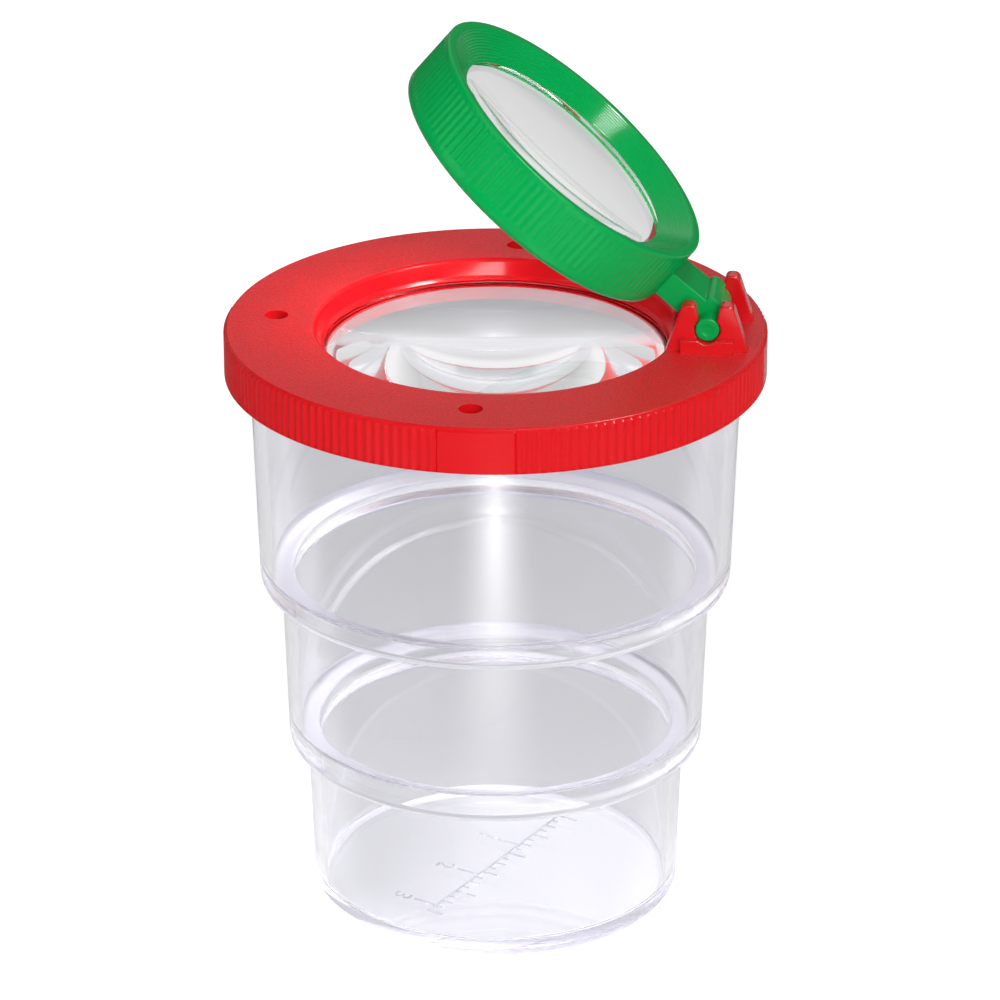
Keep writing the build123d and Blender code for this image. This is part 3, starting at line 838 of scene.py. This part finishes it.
class BUGJAR_OT_stage(bpy.types.Operator):
    """Set up the studio: pale floor, soft light, white surround and the camera"""
    bl_idname = "bugjar.stage"
    bl_label = "Studio"

    def execute(self, context):
        stage = context.scene.bug_jar_stage
        context.scene.view_settings.view_transform = "Standard"
        # Light runs round the clear rims many times before it leaves them
        context.scene.cycles.max_bounces = 24
        context.scene.cycles.glossy_bounces = 16
        context.scene.cycles.transmission_bounces = 24
        self.floor(stage)
        self.surround(context)
        self.lamps(stage, context)
        self.card(stage)
        self.camera(stage, context)
        return {"FINISHED"}

    def floor(self, stage):
        """Large pale floor. The camera sees it lifted to white, with the soft shadow left in."""
        # Part of the floor's brightness that doesn't come from the lamps
        paper_share = 0.72
        bm = bmesh.new()
        bmesh.ops.create_grid(bm, x_segments=1, y_segments=1, size=6.0)
        bmesh.ops.translate(bm, vec=(0, 0, -0.05 * MM), verts=bm.verts[:])
        floor = link_mesh("studio_floor", bm)
        material, tree = new_material("Studio floor")
        path = add_node(tree, "ShaderNodeLightPath")
        matt = add_node(tree, "ShaderNodeBsdfDiffuse", {"Color": stage.floor_colour})
        place = add_node(tree, "ShaderNodeTexCoord").outputs["Object"]
        # Through the clear pieces the paper is white, with a painted shadow of the jar: a soft grey patch
        # behind it, darker farther back, which fades to white far behind
        aligned = add_node(tree, "ShaderNodeMapping", {
            "Vector": place, "Rotation": (0, 0, stage.camera_turn)}, vector_type="TEXTURE")
        axes = add_node(tree, "ShaderNodeSeparateXYZ", {"Vector": aligned.outputs["Vector"]})
        offset = add_node(tree, "ShaderNodeMath", {0: axes.outputs["X"]}, operation="ABSOLUTE")
        spread = add_node(tree, "ShaderNodeMath", {
            0: axes.outputs["Y"], 1: 0.2, 2: 20 * MM}, operation="MULTIPLY_ADD")
        ratio = add_node(tree, "ShaderNodeMath", {
            0: offset.outputs["Value"], 1: spread.outputs["Value"]}, operation="DIVIDE")
        across = add_node(tree, "ShaderNodeMapRange", {
            "Value": ratio.outputs["Value"], "From Min": 1.15, "From Max": 0.8},
            interpolation_type="SMOOTHSTEP")
        behind = add_node(tree, "ShaderNodeMapRange", {
            "Value": axes.outputs["Y"], "From Min": 15 * MM, "From Max": 105 * MM,
            "To Min": 0.71, "To Max": 0.58})
        # Painted shadow: the grey patch is mixed into the paper's glow, not cast by any lamp
        painted_shadow = add_node(tree, "ShaderNodeMix", {
            "Factor": across.outputs["Result"], 2: 0.92, 3: behind.outputs["Result"]})
        far = add_node(tree, "ShaderNodeMapRange", {
            "Value": axes.outputs["Y"], "From Min": 140 * MM, "From Max": 200 * MM})
        paper = add_node(tree, "ShaderNodeMix", {
            "Factor": far.outputs["Result"], 2: painted_shadow.outputs[0], 3: 1.05})
        # The camera sees white paper that keeps the jar's shadow, and pure white farther back
        sweep = add_node(tree, "ShaderNodeMix", {"Factor": far.outputs["Result"], 2: 1.2, 3: 1.4})
        level = add_node(tree, "ShaderNodeMix", {
            "Factor": path.outputs["Is Camera Ray"], 2: paper.outputs[0], 3: sweep.outputs[0]})
        white = add_node(tree, "ShaderNodeEmission", {"Color": (1, 1, 1, 1), "Strength": level.outputs[0]})
        seen = add_node(tree, "ShaderNodeMath", {
            0: path.outputs["Is Camera Ray"], 1: path.outputs["Is Transmission Ray"]}, operation="MAXIMUM")
        share = add_node(tree, "ShaderNodeMath", {
            0: seen.outputs["Value"], 1: paper_share}, operation="MULTIPLY")
        mix = add_node(tree, "ShaderNodeMixShader", {
            0: share.outputs["Value"], 1: matt.outputs["BSDF"], 2: white.outputs["Emission"]})
        add_node(tree, "ShaderNodeOutputMaterial", {"Surface": mix.outputs["Shader"]})
        floor.data.materials.append(material)

    def surround(self, context):
        """White to the camera, pale through the clear pieces, and dim in reflections but for the backdrop."""
        world = bpy.data.worlds.new("Studio")
        world.use_nodes = True
        tree = world.node_tree
        tree.nodes.clear()
        path = add_node(tree, "ShaderNodeLightPath")
        heading = add_node(tree, "ShaderNodeTexCoord").outputs["Generated"]
        axes = add_node(tree, "ShaderNodeSeparateXYZ", {"Vector": heading})
        height = add_node(tree, "ShaderNodeMapRange", {
            "Value": axes.outputs["Z"], "From Min": 0.35, "From Max": 0.6, "To Min": 1.0, "To Max": 0.6})
        front = add_node(tree, "ShaderNodeMapRange", {
            "Value": axes.outputs["Y"], "From Min": -0.9, "From Max": 0.2, "To Min": 0.45, "To Max": 1.0})
        pale = add_node(tree, "ShaderNodeMath", {
            0: height.outputs["Result"], 1: front.outputs["Result"]}, operation="MULTIPLY")
        behind = add_node(tree, "ShaderNodeMapRange", {
            "Value": axes.outputs["Y"], "From Min": 0.2, "From Max": 0.9, "To Min": 0.0, "To Max": 0.75})
        raised = add_node(tree, "ShaderNodeMapRange", {
            "Value": axes.outputs["Z"], "From Min": 0.2, "From Max": 0.35})
        backdrop = add_node(tree, "ShaderNodeMath", {
            0: behind.outputs["Result"], 1: raised.outputs["Result"], 2: 0.06}, operation="MULTIPLY_ADD")
        sight = add_node(tree, "ShaderNodeMix", {
            "Factor": path.outputs["Is Transmission Ray"],
            2: backdrop.outputs["Value"], 3: pale.outputs["Value"]})
        fill = add_node(tree, "ShaderNodeMix", {
            "Factor": path.outputs["Is Diffuse Ray"], 2: sight.outputs[0], 3: 0.22})
        studio = add_node(tree, "ShaderNodeBackground", {
            "Color": (1, 1, 1, 1), "Strength": fill.outputs[0]})
        white = add_node(tree, "ShaderNodeBackground", {"Color": (1, 1, 1, 1), "Strength": 1.0})
        mix = add_node(tree, "ShaderNodeMixShader", {
            0: path.outputs["Is Camera Ray"],
            1: studio.outputs["Background"], 2: white.outputs["Background"]})
        add_node(tree, "ShaderNodeOutputWorld", {"Surface": mix.outputs["Shader"]})
        context.scene.world = world

    def lamps(self, stage, context):
        """A front softbox, a weaker left one, a lamp above, and a key lamp that only makes highlights."""
        target = Vector((0, 0, 50 * MM))
        boxes = {
            "front_softbox": ((0.3, -0.82, 0.42), (0.6, 0.3), stage.soft_light),
            "left_softbox": ((-0.55, -0.35, 0.5), (0.35, 0.6), stage.soft_light * 0.2),
            "key_lamp": ((0.43, -0.07, 0.75), (0.13, 0.13), stage.soft_light * 1.7),
            "top_lamp": ((0.18, -0.12, 0.85), (0.3, 0.3), stage.soft_light * 0.26),
        }
        for name, (place, size, power) in boxes.items():
            lamp = bpy.data.lights.new(name, "AREA")
            lamp.shape = "RECTANGLE"
            lamp.size, lamp.size_y = size
            lamp.energy = power
            holder = bpy.data.objects.new(name, lamp)
            holder.location = place
            holder.rotation_euler = (target - Vector(place)).to_track_quat("-Z", "Y").to_euler()
            holder.visible_camera = False
            holder.visible_transmission = False
            holder.visible_glossy = name != "top_lamp"
            holder.visible_diffuse = name != "key_lamp"
            context.scene.collection.objects.link(holder)

    def card(self, stage):
        """Soft bright card lying in front of the jar. The jar's walls show it as an upright streak."""
        half_width, half_length = 45 * MM, 120 * MM
        middle = Matrix.Rotation(stage.camera_turn, 3, "Z") @ Vector((0, -150 * MM, 0.1 * MM))
        bm = bmesh.new()
        bmesh.ops.create_grid(bm, x_segments=1, y_segments=1, size=half_length)
        bmesh.ops.translate(bm, vec=middle, verts=bm.verts[:])
        card = link_mesh("white_card", bm)
        card.visible_camera = False
        card.visible_diffuse = False
        card.visible_shadow = False
        material, tree = new_material("White card")
        place = add_node(tree, "ShaderNodeTexCoord").outputs["Object"]
        spot = add_node(tree, "ShaderNodeMapping", {
            "Vector": place, "Location": middle, "Rotation": (0, 0, stage.camera_turn),
            "Scale": (half_width, half_length, 1)}, vector_type="TEXTURE")
        glow = add_node(tree, "ShaderNodeTexGradient", {
            "Vector": spot.outputs["Vector"]}, gradient_type="QUADRATIC_SPHERE")
        strength = add_node(tree, "ShaderNodeMath", {
            0: glow.outputs["Fac"], 1: stage.card_light}, operation="MULTIPLY")
        light = add_node(tree, "ShaderNodeEmission", {"Strength": strength.outputs["Value"]})
        clear = add_node(tree, "ShaderNodeBsdfTransparent")
        both = add_node(tree, "ShaderNodeAddShader", {0: light.outputs["Emission"], 1: clear.outputs["BSDF"]})
        add_node(tree, "ShaderNodeOutputMaterial", {"Surface": both.outputs["Shader"]})
        card.data.materials.append(material)

    def camera(self, stage, context):
        """Camera at the photograph's own angle, its lens worked out for a picture 1000 pixels wide."""
        picture_pixels = 1000
        focal_pixels = 5246
        view = bpy.data.cameras.new("camera")
        view.sensor_width = 36.0
        view.lens = view.sensor_width * focal_pixels / picture_pixels
        view.shift_x = 0.0045
        view.clip_start = 0.01
        holder = bpy.data.objects.new("camera", view)
        bearing = stage.camera_turn
        holder.location = (
            stage.camera_distance * sin(bearing), -stage.camera_distance * cos(bearing), stage.camera_height)
        holder.rotation_euler = Euler((pi / 2 - stage.camera_pitch, 0, bearing))
        context.scene.collection.objects.link(holder)
        context.scene.camera = holder


class BUGJAR_PT_panel(bpy.types.Panel):
    """Lists the pieces of the jar"""
    bl_idname = "BUGJAR_PT_panel"
    bl_label = "Bug Catcher Jar"
    bl_space_type = "VIEW_3D"
    bl_region_type = "UI"
    bl_category = "Bug Jar"

    def draw(self, context):
        for operator in OPERATORS:
            self.layout.operator(operator.bl_idname)


SETTINGS = {
    "bug_jar_pot": BugJarPot,
    "bug_jar_lid": BugJarLid,
    "bug_jar_magnifier": BugJarMagnifier,
    "bug_jar_stage": BugJarStage,
}
OPERATORS = (
    BUGJAR_OT_pot,
    BUGJAR_OT_scale,
    BUGJAR_OT_lid,
    BUGJAR_OT_horns,
    BUGJAR_OT_lid_lens,
    BUGJAR_OT_ring,
    BUGJAR_OT_arm,
    BUGJAR_OT_magnifier_lens,
    BUGJAR_OT_stage,
)


def register():
    """Register the settings, operators and panel."""
    for kind in (*SETTINGS.values(), *OPERATORS, BUGJAR_PT_panel):
        bpy.utils.register_class(kind)
    for name, kind in SETTINGS.items():
        setattr(bpy.types.Scene, name, PointerProperty(type=kind))


def unregister():
    """Take the settings, operators and panel out again."""
    for name in SETTINGS:
        delattr(bpy.types.Scene, name)
    for kind in reversed((*SETTINGS.values(), *OPERATORS, BUGJAR_PT_panel)):
        bpy.utils.unregister_class(kind)


def main():
    """Build the jar in order."""
    register()
    bpy.ops.bugjar.pot()
    bpy.ops.bugjar.scale()
    bpy.ops.bugjar.lid()
    bpy.ops.bugjar.horns()
    bpy.ops.bugjar.lid_lens()
    bpy.ops.bugjar.ring()
    bpy.ops.bugjar.arm()
    bpy.ops.bugjar.magnifier_lens()
    bpy.ops.bugjar.stage()


if __name__ == "__main__":
    main()
